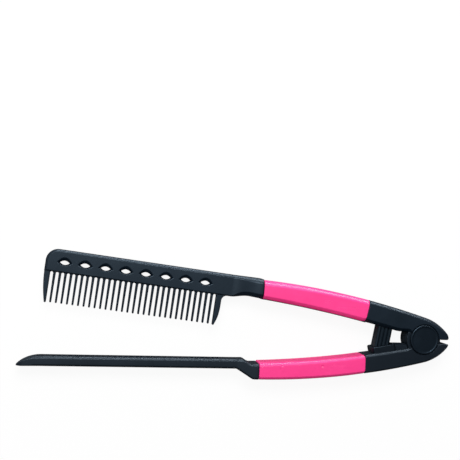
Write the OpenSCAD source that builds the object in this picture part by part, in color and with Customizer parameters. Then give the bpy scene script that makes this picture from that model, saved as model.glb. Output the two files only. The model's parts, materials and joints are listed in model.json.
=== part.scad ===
// Straightening comb: a toothed comb arm and a slotted press arm, joined at one
// end by a leaf hinge and held apart by a spring in a telescoping guide post.
// It lies flat: X runs along the press plate, +Y is the comb side, +Z is the thickness.
// The pivot axis is Z, and the origin is on that axis, on the face the tool rests on.

/* [Overall] */
// Thickness over the grips and the hub caps
depth = 15; // [13:0.5:18]
// Angle between the comb and the press plate when the tool is let go
open_angle = 6.4; // [5:0.1:8]
// How far the black faces of the arms lie below the grips and caps
arm_inset = 0.25; // [0.1:0.05:0.6]

/* [Comb] */
// Number of fine teeth
tooth_count = 30; // [24:1:30]
// Distance from tooth to tooth
tooth_pitch = 3; // [2.9:0.1:3.2]
// Distance from the pivot to the fine tooth nearest to it
comb_reach = 124.1; // [122:0.5:130]
// Length of a fine tooth below the root line
tooth_length = 16.8; // [14:0.2:18]
// Width of a tooth at its root
tooth_root_w = 1.45; // [1.3:0.05:1.6]
// Width of a tooth at its tip
tooth_tip_w = 1.1; // [0.9:0.05:1.3]
// Thickness of the teeth
tooth_depth = 3; // [2.4:0.1:3.6]
// Height of the root line above the pivot
root_height = 8.9; // [8:0.1:9.6]
// Height of the spine above the root line
spine_height = 12.5; // [11:0.1:13]
// Thickness of the spine
spine_depth = 4.6; // [4.2:0.1:6]
// Bevel along the top of the spine
spine_bevel = 1.2; // [0.6:0.1:1.8]
// Radius of the comb's upper outer corner
corner_r = 6.6; // [3:0.1:8]
// Width of the guard tooth at the tip end
end_guard_w = 3.4; // [3:0.1:4.5]
// Width of the guard tooth at the handle end
heel_guard_w = 3.4; // [2.8:0.1:4]
// Width of both guard teeth at their tips
guard_tip_w = 1.2; // [0.8:0.1:1.6]
// Length of both guard teeth below the root line
guard_length = 17.1; // [15:0.1:18]

/* [Vents] */
// Number of vent holes in the spine
vent_count = 8; // [4:1:8]
// Distance from vent to vent
vent_pitch = 11.1; // [10:0.1:11.5]
// Distance of the vents' centre line above the root line
vent_rise = 5.5; // [5:0.1:6]
// Length of a vent's throat
vent_length = 5.2; // [4:0.1:6]
// Height of a vent's throat
vent_height = 2.3; // [1.6:0.1:2.8]
// Width of the countersink round each vent
vent_flare = 1.1; // [0.5:0.1:1.4]

/* [Press plate] */
// Depth of the plate's pressing face below the pivot
plate_drop = 12.95; // [12.5:0.05:15]
// Thickness of the plate
plate_thick = 5.4; // [4:0.1:6]
// Width of the plate, from its front to its back
plate_width = 10; // [8:0.5:13]
// Bevel along the plate
plate_bevel = 1.2; // [0.8:0.1:1.4]
// Length of the solid nose beyond the guard slot
plate_nose = 10.4; // [8:0.1:14]
// Radius of the sled curve that ends the plate
sled_r = 20; // [15:1:26]
// Clearance between a tooth and its slot, on each side
slot_clear = 0.2; // [0.15:0.05:0.25]
// Bevel along the press arm and the comb arm's nose
arm_bevel = 0.8; // [0.4:0.1:1.2]

/* [Arms] */
// Height of the comb arm's outer edge above the pivot at its crown
comb_crown = 20.6; // [19.5:0.05:21.5]
// Distance from the pivot back to that crown
comb_crown_x = 84; // [80:1:92]
// Radius of the comb arm's outer edge
comb_crown_r = 432; // [400:2:480]
// Height of the comb arm's inner edge above the pivot at its crown
comb_belly = 10.7; // [10.2:0.1:11.2]
// Distance from the pivot back to that crown
comb_belly_x = 120; // [114:1:126]
// Radius of the comb arm's inner edge
comb_belly_r = 680; // [640:10:760]
// Height of the comb arm's inner edge above the pivot where it meets the hinge leaves
comb_root = 3.2; // [1.8:0.1:4]
// Depth of the press arm's outer edge below the pivot at its crown
press_crown = 23.9; // [23:0.05:24.5]
// Distance from the pivot back to that crown
press_crown_x = 92; // [88:1:98]
// Radius of the press arm's outer edge
press_crown_r = 395; // [380:5:440]
// Depth of the press arm's inner edge below the pivot at its crown
press_belly = 15.1; // [14.8:0.1:15.6]
// Distance from the pivot back to that crown
press_belly_x = 117; // [110:1:124]
// Radius of the press arm's inner edge
press_belly_r = 587; // [560:5:640]
// Radius of the two noses beyond the pivot
nose_r = 25.5; // [24:0.5:32]
// Reach of the noses beyond the pivot
nose_reach = 14.4; // [13:0.2:16]
// Width of the mouth between the noses
mouth = 2.4; // [2.2:0.1:3]
// Bevel along the comb arm's outer edge
top_bevel = 1.3; // [0.6:0.1:1.8]
// Bevel along the comb arm's inner edge
under_bevel = 2.1; // [1:0.1:2.6]

/* [Grips] */
// Distance from the pivot to the near end of the comb arm's grip
comb_grip_near = 35.3; // [34.5:0.1:40]
// Length of the comb arm's grip
comb_grip_len = 61.1; // [55:0.1:64]
// Distance from the pivot to the near end of the press arm's grip
press_grip_near = 34.4; // [32:0.1:38]
// Length of the press arm's grip
press_grip_len = 60.8; // [55:0.1:64]
// Wall of the grips
grip_wall = 2.2; // [1.6:0.1:2.8]
// Width of the core's rib that shows along the inner side of the comb arm's grip
rib_w = 6.5; // [4:0.5:7]
// How far that rib stands out of the grip
rib_proud = 0.45; // [0.1:0.05:0.8]
// Clearance between a grip and the core it is moulded over
grip_clear = 0.05; // [0.03:0.01:0.1]

/* [Hinge] */
// Radius of the hinge leaves
leaf_r = 10; // [9.6:0.1:10.4]
// Thickness of a hinge leaf
leaf_t = 2.1; // [1.8:0.05:2.2]
// Side play between neighbouring leaves
leaf_gap = 0.2; // [0.15:0.05:0.3]
// Gap between the rim of a leaf and the arm that it turns in
rim_gap = 0.3; // [0.25:0.05:0.4]
// Radius of the hub caps
cap_r = 8.3; // [8.1:0.1:9]
// Gap between a hub cap and the recess of the press arm
cap_clear = 0.25; // [0.1:0.05:0.3]
// Radius of the barrel that the leaves turn on
barrel_r = 2.5; // [2.2:0.1:2.8]
// Radial running clearance of the leaves on the barrel
barrel_clear = 0.05; // [0.03:0.01:0.08]
// Radius of the clamping screw in the barrel
screw_r = 1.5; // [1.2:0.1:1.6]
// Radius of the heads of the barrel and the screw
head_r = 4.4; // [4:0.1:4.8]
// Thickness of those heads
head_t = 1.3; // [1:0.1:1.4]
// Thickness of the washers under the heads
washer_t = 0.3; // [0.2:0.05:0.4]

/* [Guide post and spring] */
// Distance from the pivot to the middle of the guide post
post_reach = 23.8; // [23.5:0.1:24.2]
// Width of the post along the arms
post_w = 10; // [9:0.1:10.4]
// Depth of the post
post_d = 8; // [7.5:0.1:9]
// Radius of the bore for the spring
post_bore_r = 3.1; // [3:0.05:3.2]
// Width of the flutes on the post
flute_w = 1.1; // [0.6:0.1:1.2]
// Depth of the flutes
flute_d = 0.5; // [0.3:0.1:0.7]
// Angle that the post reaches into the comb arm, seen from the pivot
post_seat_angle = 25; // [22:0.5:27]
// Angle that the post reaches down from the tooth line, seen from the pivot
post_drop_angle = 24.5; // [23:0.5:25]
// Clearance of the post in its seat
seat_clear = 0.05; // [0.03:0.01:0.1]
// Clearance of the post in the collar
post_clear = 0.3; // [0.25:0.05:0.4]
// Wall of the collar
collar_wall = 1.5; // [1.2:0.1:1.7]
// Angle of the collar's rim below the press plate's direction
collar_rim_angle = 9.6; // [8:0.2:10]
// Angle of the floor of the post's well
well_angle = 31.5; // [31.5:0.5:32.5]
// Radius of the spring's coil, to the middle of the wire
coil_r = 2.45; // [2.3:0.05:2.5]
// Radius of the spring wire
wire_r = 0.4; // [0.3:0.05:0.45]
// Turns of the spring
coil_turns = 9; // [7:1:11]

/* [Hidden] */
$fn = 64;

black = [0.13, 0.15, 0.18];
pink = [1, 0.25, 0.56];
steel = [0.72, 0.73, 0.75];

// Shared small values
over = 1;             // cutters run this far past what they cut
lap = 0.5;            // shapes that are fused run this far into one another
half = depth / 2;
arm_half = half - arm_inset;
step_x = 0.6;         // length of the short steps in the arms' outlines
root_run = 9;         // distance over which the comb arm's inner edge eases to comb_root
tip_t = 0.45;         // thickness left at the very tip of the plate
spine_fall = 0.3;     // how far the spine's top drops on its way to the neck
shoulder = 0.7;       // how far the comb arm's neck stands above its grip
press_step = 0.5;     // how far the press arm's neck lies below its grip
ramp_len = 13;        // length of the press arm's bend beside the plate
core_bevel = 1;       // bevel of the cores under the grips
rib_bevel = 0.4;      // bevel of the rib on the comb arm's core
grip_bevel = top_bevel + 0.3;  // bevel along the outer edges of the grips
lip_bevel = 0.4;      // bevel of the noses' lips
nose_round = 0.6;     // how far the very ends of the noses are drawn in
web_top = 3;          // depth below the pivot of the web between collar and hinge
web_height = 5;
end_play = 0.1;       // room left at the ends of the barrel, screw and post
spring_end = 1.6;     // angle left at each end of the spring, for its wire and its seat

// Places along the comb, in the comb's own frame, with the pivot at the origin
last_x = -comb_reach;
first_x = last_x - (tooth_count - 1) * tooth_pitch;
gap_w = tooth_pitch - tooth_root_w;
end_inner_x = first_x - tooth_root_w / 2 - gap_w;
end_outer_x = end_inner_x - end_guard_w;
heel_inner_x = last_x + tooth_root_w / 2 + gap_w;
heel_outer_x = heel_inner_x + heel_guard_w;
heel_fillet = 3;
spine_top = root_height + spine_height;
vent_y = root_height + vent_rise;
vent_mid_x = (first_x + last_x) / 2;
comb_grip_far = comb_grip_near + comb_grip_len;
comb_neck_x = heel_outer_x + heel_fillet + 1.5;

// Places along the press arm
slot_end_r = sweep_r(end_outer_x) + slot_clear;
plate_tip_x = -slot_end_r - plate_nose;
plate_top = -plate_drop;
plate_bottom = plate_top - plate_thick;
sled_drop = plate_thick - tip_t;
sled_len = sqrt(sled_r * sled_r - pow(sled_r - sled_drop, 2));
plan_r = 4;
press_grip_far = press_grip_near + press_grip_len;
press_ramp_x = -press_grip_far - ramp_len;

// Hinge stack, measured from the middle plane outwards
mid_leaf = leaf_t / 2;
comb_leaf_in = mid_leaf + leaf_gap;
comb_leaf_out = comb_leaf_in + leaf_t;
outer_leaf_in = comb_leaf_out + leaf_gap;
outer_leaf_out = outer_leaf_in + leaf_t;
cap_seat = outer_leaf_out + seat_clear;
washer_seat = outer_leaf_in + leaf_t / 2;
head_seat = washer_seat + washer_t;
head_top = head_seat + head_t;
rim_r = leaf_r + rim_gap;

// Guide post, in angles about the pivot
ring_in = post_reach - post_w / 2;
ring_out = post_reach + post_w / 2;
collar_in = ring_in - post_clear - collar_wall;
collar_out = ring_out + post_clear + collar_wall;
collar_half = post_d / 2 + post_clear + collar_wall;
collar_foot_angle = 20;

// Height of a circular edge at x; the crown is the top of the circle at -crown_x
function arc_y(x, crown, crown_x, r) =
    crown - (r - sqrt(r * r - pow(x + crown_x, 2)));
// The same edge, carried on past x = 0 by the smaller nose circle
function nose_y(x, crown, crown_x, r) =
    let (a = asin(crown_x / r),
         y0 = arc_y(0, crown, crown_x, r),
         cx = -nose_r * sin(a),
         cy = y0 - nose_r * cos(a))
    x < 0 ? arc_y(x, crown, crown_x, r) : cy + sqrt(nose_r * nose_r - pow(x - cx, 2));
function mix(a, b, t) = a + (b - a) * t;
function smooth(t) = t * t * (3 - 2 * t);
function steps(a, b, n) = [for (i = [0:n]) mix(a, b, i / n)];

function comb_top(x) = nose_y(x, comb_crown, comb_crown_x, comb_crown_r);
function comb_under(x) = arc_y(x, comb_belly, comb_belly_x, comb_belly_r);
function press_under(x) = -nose_y(x, press_crown, press_crown_x, press_crown_r);
function press_top(x) = -arc_y(x, press_belly, press_belly_x, press_belly_r);

// The mouth's two lips; the comb arm's lip is level when the tool is let go
mouth_mid = -1.05;
press_lip = mouth_mid - mouth / 2;
function comb_lip(x) = x * tan(open_angle) + (mouth_mid + mouth / 2) / cos(open_angle);
function comb_inner(x) =
    x < -leaf_r ? mix(comb_root, comb_under(x), smooth(min(1, (-x - leaf_r) / root_run))) :
    x < leaf_r ? mix(comb_root, comb_lip(leaf_r), (x + leaf_r) / (2 * leaf_r)) :
    comb_lip(x);
function press_inner(x) =
    x < -leaf_r ? press_top(x) :
    x < leaf_r ? mix(press_top(-leaf_r), press_lip, (x + leaf_r) / (2 * leaf_r)) :
    press_lip;

// One cross-section of an arm: a bevelled rectangle at x
// s = [x, bottom, top, half thickness, top bevel, bottom bevel]
function section(s) =
    let (x = s[0], b = s[1], t = s[2], h = s[3], ct = s[4], cb = s[5]) [
        [x, b, cb - h], [x, b, h - cb], [x, b + cb, h], [x, t - ct, h],
        [x, t, h - ct], [x, t, ct - h], [x, t - ct, -h], [x, b + cb, -h]];

// A closed solid through a row of cross-sections
module loft(rows) {
    n = len(rows);
    points = [for (s = rows) each section(s)];
    sides = [for (i = [0:n - 2], k = [0:7])
        let (a = i * 8 + k, b = i * 8 + (k + 1) % 8)
        each [[a, b, b + 8], [a, b + 8, a + 8]]];
    ends = [[for (k = [7:-1:0]) k], [for (k = [0:7]) (n - 1) * 8 + k]];
    polyhedron(points, concat(sides, ends), convexity = 6);
}

// Ring sector about the pivot with the given profile; angles run from -X towards -Y
module arc_bar(from, to) {
    rotate([0, 0, 180 + from])
        rotate_extrude(angle = to - from, $fn = 180)
            children();
}

module disc(r, z0, z1) {
    translate([0, 0, z0])
        cylinder(r = r, h = z1 - z0);
}

module both_faces() {
    children();
    mirror([0, 0, 1])
        children();
}

module in_comb_frame() {
    translate([0, 0, half])
        rotate([0, 0, -open_angle])
            children();
}

module in_press_frame() {
    translate([0, 0, half])
        children();
}

// ---- Comb arm ----

function spine_rows() = concat(
    [for (a = [0:15:90])
        [end_outer_x + corner_r * (1 - cos(a)), root_height,
         spine_top - corner_r * (1 - sin(a)), spine_depth / 2, spine_bevel,
         (spine_depth - tooth_depth) / 2]],
    [[comb_neck_x, root_height, spine_top - spine_fall, spine_depth / 2, spine_bevel,
      (spine_depth - tooth_depth) / 2]]);

function neck_rows() =
    let (x1 = -comb_grip_far, run = x1 - comb_neck_x)
    [for (t = [0.15:0.17:1])
        [comb_neck_x + run * t,
         mix(root_height, comb_under(x1), smooth(min(1, t * 1.6))),
         mix(spine_top - spine_fall, comb_top(x1) + shoulder, t),
         mix(spine_depth / 2, arm_half, smooth(t)),
         mix(spine_bevel, top_bevel, t),
         mix((spine_depth - tooth_depth) / 2, under_bevel, t)]];

// The core under a grip is the arm's outline, drawn in by the grip's wall
function comb_core_rows(grow = 0, past = 0) =
    [for (x = steps(-comb_grip_far - past, -comb_grip_near + past, 8))
        [x, comb_under(x) + grip_wall - grow, comb_top(x) - grip_wall + grow,
         arm_half - grip_wall + grow, core_bevel, core_bevel]];

function comb_rib_rows(grow = 0, past = 0) =
    [for (x = steps(-comb_grip_far - past, -comb_grip_near + past, 8))
        [x, comb_under(x) - rib_proud - grow, comb_under(x) + grip_wall + 2 * core_bevel,
         rib_w / 2 + grow, rib_bevel, rib_bevel]];

function comb_grip_rows() =
    [for (x = steps(-comb_grip_far + grip_clear, -comb_grip_near - grip_clear, 12))
        [x, comb_under(x), comb_top(x), half, grip_bevel, under_bevel]];

function comb_tail_rows() = concat(
    [for (x = steps(-comb_grip_near, -leaf_r, 9))
        [x, comb_inner(x), comb_top(x), arm_half, top_bevel, under_bevel]],
    [for (x = steps(-leaf_r + step_x, leaf_r, 6))
        [x, comb_inner(x), comb_top(x), arm_half, top_bevel, lip_bevel]],
    [for (x = steps(leaf_r + step_x, nose_reach - step_x, 3))
        [x, comb_inner(x), comb_top(x), arm_half, arm_bevel, lip_bevel]],
    [[nose_reach, comb_inner(nose_reach) + nose_round, comb_top(nose_reach) - nose_round,
      arm_half - nose_round, lip_bevel, lip_bevel]]);

// Gaps between the teeth end in half circles on the root line
module teeth() {
    bar_y = root_height - gap_w / 2;
    linear_extrude(tooth_depth, center = true) {
        difference() {
            translate([end_inner_x - lap, bar_y])
                square([heel_inner_x - end_inner_x + 2 * lap, gap_w / 2 + lap]);
            for (i = [0:tooth_count])
                translate([end_inner_x + gap_w / 2 + i * tooth_pitch, bar_y])
                    circle(r = gap_w / 2, $fn = 24);
        }
        for (i = [0:tooth_count - 1])
            translate([first_x + i * tooth_pitch, root_height])
                tooth();
        end_guard();
        heel_guard();
    }
}

module tooth() {
    tip_y = tooth_tip_w / 2 - tooth_length;
    polygon([[-tooth_root_w / 2, -gap_w / 2], [tooth_root_w / 2, -gap_w / 2],
        [tooth_tip_w / 2, tip_y], [-tooth_tip_w / 2, tip_y]]);
    translate([0, tip_y])
        circle(r = tooth_tip_w / 2, $fn = 24);
}

// Outer edge of the end guard: it curves in to the tip
module end_guard() {
    tip_y = root_height - guard_length + guard_tip_w / 2;
    sweep_in = end_guard_w - guard_tip_w;
    edge = [for (t = [0:0.1:1])
        [end_outer_x + sweep_in * t * t, mix(root_height + lap, tip_y, t)]];
    polygon(concat(edge, [[end_inner_x, tip_y], [end_inner_x, root_height + lap]]));
    translate([end_inner_x - guard_tip_w / 2, tip_y])
        circle(r = guard_tip_w / 2, $fn = 24);
}

module heel_guard() {
    tip_y = root_height - guard_length + guard_tip_w / 2;
    sweep_in = heel_guard_w - guard_tip_w;
    edge = [for (t = [0:0.1:1])
        [heel_outer_x - sweep_in * t * t * t, mix(root_height - heel_fillet, tip_y, t)]];
    polygon(concat([[heel_inner_x, root_height + lap], [heel_outer_x, root_height + lap]],
        edge, [[heel_inner_x, tip_y]]));
    translate([heel_inner_x + guard_tip_w / 2, tip_y])
        circle(r = guard_tip_w / 2, $fn = 24);
    difference() {
        translate([heel_outer_x - lap, root_height - heel_fillet])
            square([heel_fillet + lap, heel_fillet + lap]);
        translate([heel_outer_x + heel_fillet, root_height - heel_fillet])
            circle(r = heel_fillet);
    }
}

// An eye-shaped vent is where two round countersunk holes overlap
module vent() {
    r = (pow(vent_length / 2, 2) + pow(vent_height / 2, 2)) / vent_height;
    off = r - vent_height / 2;
    top = spine_depth / 2;
    throat = top - vent_flare;
    intersection() {
        vent_cone(r, -off, top, throat);
        vent_cone(r, off, top, throat);
    }
}

module vent_cone(r, off, top, throat) {
    translate([0, off, 0])
        rotate_extrude()
            polygon([[0, -top - over], [r + vent_flare + over, -top - over], [r, -throat],
                [r, throat], [r + vent_flare + over, top + over], [0, top + over]]);
}

// Everything that turns inside the comb arm is cut out of it
module comb_hinge_cuts() {
    disc(rim_r, -comb_leaf_in, comb_leaf_in);
    both_faces() {
        disc(rim_r, comb_leaf_out, outer_leaf_out + leaf_gap);
        disc(cap_r + rim_gap, cap_seat, half + over);
    }
    disc(barrel_r + barrel_clear, -half, half);
}

module comb_arm() {
    color(black)
        in_comb_frame()
            difference() {
                union() {
                    loft(concat(spine_rows(), neck_rows(), comb_core_rows(), comb_tail_rows()));
                    loft(comb_rib_rows());
                    teeth();
                    both_faces()
                        disc(leaf_r, comb_leaf_in, comb_leaf_out);
                }
                for (i = [0:vent_count - 1])
                    translate([vent_mid_x + (i - (vent_count - 1) / 2) * vent_pitch, vent_y, 0])
                        vent();
                comb_hinge_cuts();
                arc_bar(-post_seat_angle - end_play, post_drop_angle)
                    translate([post_reach, 0])
                        square([post_w + 2 * seat_clear, post_d + 2 * seat_clear], center = true);
            }
}

module comb_grip() {
    color(pink)
        in_comb_frame()
            difference() {
                loft(comb_grip_rows());
                loft(comb_core_rows(grip_clear, over));
                loft(comb_rib_rows(grip_clear, over));
            }
}

// ---- Guide post ----

module post_profile() {
    bevel = 0.8;
    w = post_w / 2;
    d = post_d / 2;
    difference() {
        polygon([[-w, bevel - d], [bevel - w, -d], [w - bevel, -d], [w, bevel - d],
            [w, d - bevel], [w - bevel, d], [bevel - w, d], [-w, d - bevel]]);
        circle(r = post_bore_r);
        for (i = [-1:1], side = [-1, 1])
            translate([i * 2 * flute_w, side * d])
                square([flute_w, 2 * flute_d], center = true);
    }
}

module guide_post() {
    color(black)
        in_comb_frame()
            arc_bar(-post_seat_angle, post_drop_angle)
                translate([post_reach, 0])
                    post_profile();
}

// ---- Press arm ----

// The plate's nose: a sled curve seen from the front, rounded corners seen from above
function plate_nose_rows() =
    [for (t = [0, 0.12, 0.26, 0.42, 0.6, 0.8, 1])
        let (x = plate_tip_x + sled_len * t,
             back = max(0, plate_tip_x + plan_r - x))
        [x, plate_bottom,
         plate_top - sled_r + sqrt(sled_r * sled_r - pow(sled_len * (1 - t), 2)),
         plate_width / 2 - plan_r + sqrt(plan_r * plan_r - back * back),
         min(plate_bevel, tip_t / 3 + plate_bevel * t),
         min(plate_bevel, tip_t / 3 + plate_bevel * t)]];

function press_neck_rows() =
    let (x1 = -press_grip_far)
    [for (t = [0:0.125:0.99])
        let (x = mix(press_ramp_x, x1, t), low = min(1, max(0, t - 0.05) / 0.72))
        [x, mix(plate_bottom, press_under(x1), low),
         mix(plate_top, press_top(x1) - press_step, smooth(min(1, max(0, t - 0.3) / 0.4))),
         mix(plate_width / 2, arm_half, smooth(t)),
         mix(plate_bevel, arm_bevel, t), mix(plate_bevel, arm_bevel, t)]];

function press_core_rows(grow = 0, past = 0) =
    [for (x = steps(-press_grip_far - past, -press_grip_near + past, 8))
        [x, press_under(x) + grip_wall - grow, press_top(x) - grip_wall + grow,
         arm_half - grip_wall + grow, core_bevel, core_bevel]];

function press_grip_rows() =
    [for (x = steps(-press_grip_far + grip_clear, -press_grip_near - grip_clear, 12))
        [x, press_under(x), press_top(x), half, top_bevel, grip_bevel]];

function press_tail_rows() = concat(
    [for (x = steps(-press_grip_near, -leaf_r, 6))
        [x, press_under(x), press_inner(x), arm_half, arm_bevel, arm_bevel]],
    [for (x = steps(-leaf_r + step_x, leaf_r, 6))
        [x, press_under(x), press_inner(x), arm_half, lip_bevel, arm_bevel]],
    [for (x = steps(leaf_r + step_x, nose_reach - step_x, 3))
        [x, press_under(x), press_inner(x), arm_half, lip_bevel, arm_bevel]],
    [[nose_reach, press_under(nose_reach) + nose_round, press_inner(nose_reach) - nose_round,
      arm_half - nose_round, lip_bevel, lip_bevel]]);

// Each slot is a ring sector about the pivot, so a turning tooth stays clear of it
module slot(r_in, r_out) {
    margin = 1.5;
    from = asin((plate_drop - margin) / r_out);
    to = asin((plate_drop + plate_thick + margin) / r_in);
    z_half = tooth_depth / 2 + 2 * slot_clear;
    arc_bar(from, to)
        translate([r_in, -z_half])
            square([r_out - r_in, 2 * z_half]);
}

// A straight tooth sweeps a little more than its own width as it turns
function sweep_r(x) = norm([x, root_height]);

module slots() {
    for (i = [0:tooth_count - 1]) {
        x = first_x + i * tooth_pitch;
        slot(-x - tooth_root_w / 2 - slot_clear, sweep_r(x - tooth_root_w / 2) + slot_clear);
    }
    slot(-end_inner_x - slot_clear, sweep_r(end_outer_x) + slot_clear);
    slot(-heel_outer_x - slot_clear, sweep_r(heel_inner_x) + slot_clear);
}

module press_hinge_cuts() {
    both_faces() {
        disc(rim_r, mid_leaf, outer_leaf_in);
        disc(cap_r + cap_clear, outer_leaf_out, half + over);
        disc(head_r + cap_clear, washer_seat, half + over);
    }
    disc(barrel_r + barrel_clear, -half, half);
}

module press_arm() {
    web_x = -collar_in - lap;
    color(black)
        in_press_frame()
            difference() {
                union() {
                    loft(concat(plate_nose_rows(), press_neck_rows(), press_core_rows(),
                        press_tail_rows()));
                    translate([web_x, -web_top - web_height, -post_d / 2])
                        cube([-web_x - leaf_r + over, web_height, post_d]);
                    disc(leaf_r, -mid_leaf, mid_leaf);
                    both_faces()
                        disc(leaf_r, outer_leaf_in, outer_leaf_out);
                }
                slots();
                press_hinge_cuts();
                arc_bar(0, collar_foot_angle + end_play)
                    translate([collar_in - seat_clear, -collar_half - seat_clear])
                        square([collar_out - collar_in + 2 * seat_clear,
                            2 * (collar_half + seat_clear)]);
                arc_bar(0, well_angle)
                    translate([post_reach, 0])
                        square([post_w + 2 * post_clear, post_d + 2 * post_clear], center = true);
            }
}

module press_grip() {
    color(pink)
        in_press_frame()
            difference() {
                loft(press_grip_rows());
                loft(press_core_rows(grip_clear, over));
            }
}

module guide_collar() {
    color(black)
        in_press_frame()
            arc_bar(collar_rim_angle, collar_foot_angle)
                difference() {
                    translate([collar_in, -collar_half])
                        square([collar_out - collar_in, 2 * collar_half]);
                    translate([post_reach, 0])
                        square([post_w + 2 * post_clear, post_d + 2 * post_clear], center = true);
                }
}

// ---- Spring ----

// The coil follows the post's arc, from the comb arm's seat to the well's floor
spring_from = -post_seat_angle - open_angle + spring_end;
spring_to = well_angle - spring_end;
ring_steps = 14;

function coil_point(t) =
    let (a = 180 + mix(spring_from, spring_to, t),
         q = 360 * coil_turns * t,
         r = post_reach + coil_r * cos(q))
    [r * cos(a), r * sin(a), coil_r * sin(q)];
function unit(v) = v / norm(v);
function wire_ring(t) =
    let (p = coil_point(t),
         way = unit(coil_point(t + 0.001) - coil_point(t - 0.001)),
         a = 180 + mix(spring_from, spring_to, t),
         q = 360 * coil_turns * t,
         side = unit([cos(a) * cos(q), sin(a) * cos(q), sin(q)]),
         up = unit(cross(way, side)),
         out = cross(up, way))
    [for (k = [0:5]) p + wire_r * (cos(60 * k) * out + sin(60 * k) * up)];

module return_spring() {
    n = coil_turns * ring_steps;
    points = [for (i = [0:n]) each wire_ring(i / n)];
    sides = [for (i = [0:n - 1], k = [0:5])
        let (a = i * 6 + k, b = i * 6 + (k + 1) % 6)
        each [[a, b, b + 6], [a, b + 6, a + 6]]];
    ends = [[5, 4, 3, 2, 1, 0], [for (k = [0:5]) n * 6 + k]];
    color(steel)
        in_press_frame()
            polyhedron(points, concat(sides, ends), convexity = 10);
}

// ---- Hinge hardware ----

module pivot_barrel() {
    color(steel)
        in_press_frame()
            difference() {
                union() {
                    disc(barrel_r, -head_seat + end_play, head_seat);
                    disc(head_r, head_seat, head_top);
                }
                disc(screw_r + barrel_clear, -half, outer_leaf_in);
            }
}

module pivot_screw() {
    slot_w = 0.8;
    color(steel)
        in_press_frame()
            difference() {
                union() {
                    disc(screw_r, -head_seat, mid_leaf);
                    disc(head_r, -head_top, -head_seat);
                }
                translate([-head_r - over, -slot_w / 2, -head_top - over])
                    cube([2 * (head_r + over), slot_w, over + head_t / 2]);
            }
}

module washer() {
    difference() {
        disc(head_r, washer_seat, head_seat);
        disc(barrel_r + barrel_clear, 0, half);
    }
}

module front_washer() {
    color(steel)
        in_press_frame()
            washer();
}

module back_washer() {
    color(steel)
        in_press_frame()
            mirror([0, 0, 1])
                washer();
}

// A shallow cup: a bevelled disc, hollow underneath for the head
module cap() {
    rim = 0.45;
    difference() {
        rotate_extrude()
            polygon([[0, cap_seat], [cap_r, cap_seat], [cap_r, half - rim],
                [cap_r - rim, half], [0, half]]);
        disc(head_r + cap_clear, cap_seat - over, head_top + end_play);
    }
}

module front_cap() {
    color(black)
        in_press_frame()
            cap();
}

module back_cap() {
    color(black)
        in_press_frame()
            mirror([0, 0, 1])
                cap();
}

comb_arm();
comb_grip();
guide_post();
press_arm();
press_grip();
guide_collar();
return_spring();
pivot_barrel();
pivot_screw();
front_washer();
back_washer();
front_cap();
back_cap();
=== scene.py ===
import json
import math

import bmesh
import bpy
import numpy as np
from mathutils import Matrix, Vector
from mathutils.geometry import tessellate_polygon

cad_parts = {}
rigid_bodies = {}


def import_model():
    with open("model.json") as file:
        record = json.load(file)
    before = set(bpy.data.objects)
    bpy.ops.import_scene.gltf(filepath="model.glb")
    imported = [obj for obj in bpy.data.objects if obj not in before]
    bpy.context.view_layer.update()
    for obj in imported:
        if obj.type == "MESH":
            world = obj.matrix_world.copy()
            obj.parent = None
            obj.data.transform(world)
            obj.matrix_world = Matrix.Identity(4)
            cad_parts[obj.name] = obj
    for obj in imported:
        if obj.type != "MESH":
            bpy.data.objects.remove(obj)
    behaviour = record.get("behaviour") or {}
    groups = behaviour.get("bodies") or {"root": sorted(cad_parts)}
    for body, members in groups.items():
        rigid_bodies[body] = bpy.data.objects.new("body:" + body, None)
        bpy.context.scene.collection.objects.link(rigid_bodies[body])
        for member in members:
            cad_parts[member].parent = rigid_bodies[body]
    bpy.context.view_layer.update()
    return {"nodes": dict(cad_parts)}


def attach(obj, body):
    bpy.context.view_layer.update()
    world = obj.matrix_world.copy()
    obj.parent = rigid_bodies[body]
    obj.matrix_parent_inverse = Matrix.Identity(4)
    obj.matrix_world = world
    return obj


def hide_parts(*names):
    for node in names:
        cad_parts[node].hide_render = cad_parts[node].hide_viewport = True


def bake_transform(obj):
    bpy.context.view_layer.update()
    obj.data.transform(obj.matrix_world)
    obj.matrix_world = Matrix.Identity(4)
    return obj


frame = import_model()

# Shapes are worked out in millimetres in each arm's own frame: the pivot is the origin,
# X runs along the arms, Z through the thickness with 0 in the middle plane.
# place() turns them into the shared frame in metres at the very end.
tool = {
    "depth": 15.0,         # thickness over the grips and hub discs
    "armInset": 0.25,      # how far the black faces lie below the grips
    "openAngle": 6.4,      # degrees between comb and press plate when let go
    "noseRadius": 25.5,
    "noseReach": 14.4,
    "mouthMiddle": -1.05,
    "mouthWidth": 2.4,
    "wall": 2.2,           # of the grips, round the arms' cores
    "coreBevel": 1.0,
    "tailRound": 0.35,
    "lipBevel": 0.4,
    "noseTip": 0.9,        # most that a bevel has at the end of a nose
    "cornerPower": 1.25,   # 1 is a straight chamfer, 2 a round corner
    "cornerSteps": 7,
    "over": 1.0,           # cutters run this far past what they cut
}
half = tool["depth"] / 2
armHalf = half - tool["armInset"]
openTurn = math.radians(tool["openAngle"])

# Long edges of the arms: circles, by the height and place of their crown
edges = {
    "combTop": {"crown": 20.6, "crownX": 84.0, "radius": 432.0},
    "combUnder": {"crown": 10.7, "crownX": 120.0, "radius": 680.0},
    "pressUnder": {"crown": 23.9, "crownX": 92.0, "radius": 395.0},
    "pressTop": {"crown": 15.1, "crownX": 117.0, "radius": 587.0},
}


# Points from their coordinates, each of them a number or an array
def pointsOf(*axes):
    return np.stack(np.broadcast_arrays(*axes), -1)


# Angles of a quarter turn
def quarter(steps):
    return np.linspace(0, np.pi / 2, steps + 1)


# Points on the circle of radius r about (x, y), from one angle to another
def arc(x, y, r, start, end, steps):
    a = np.linspace(start, end, steps + 1)
    return pointsOf(x + r * np.cos(a), y + r * np.sin(a))


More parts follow.
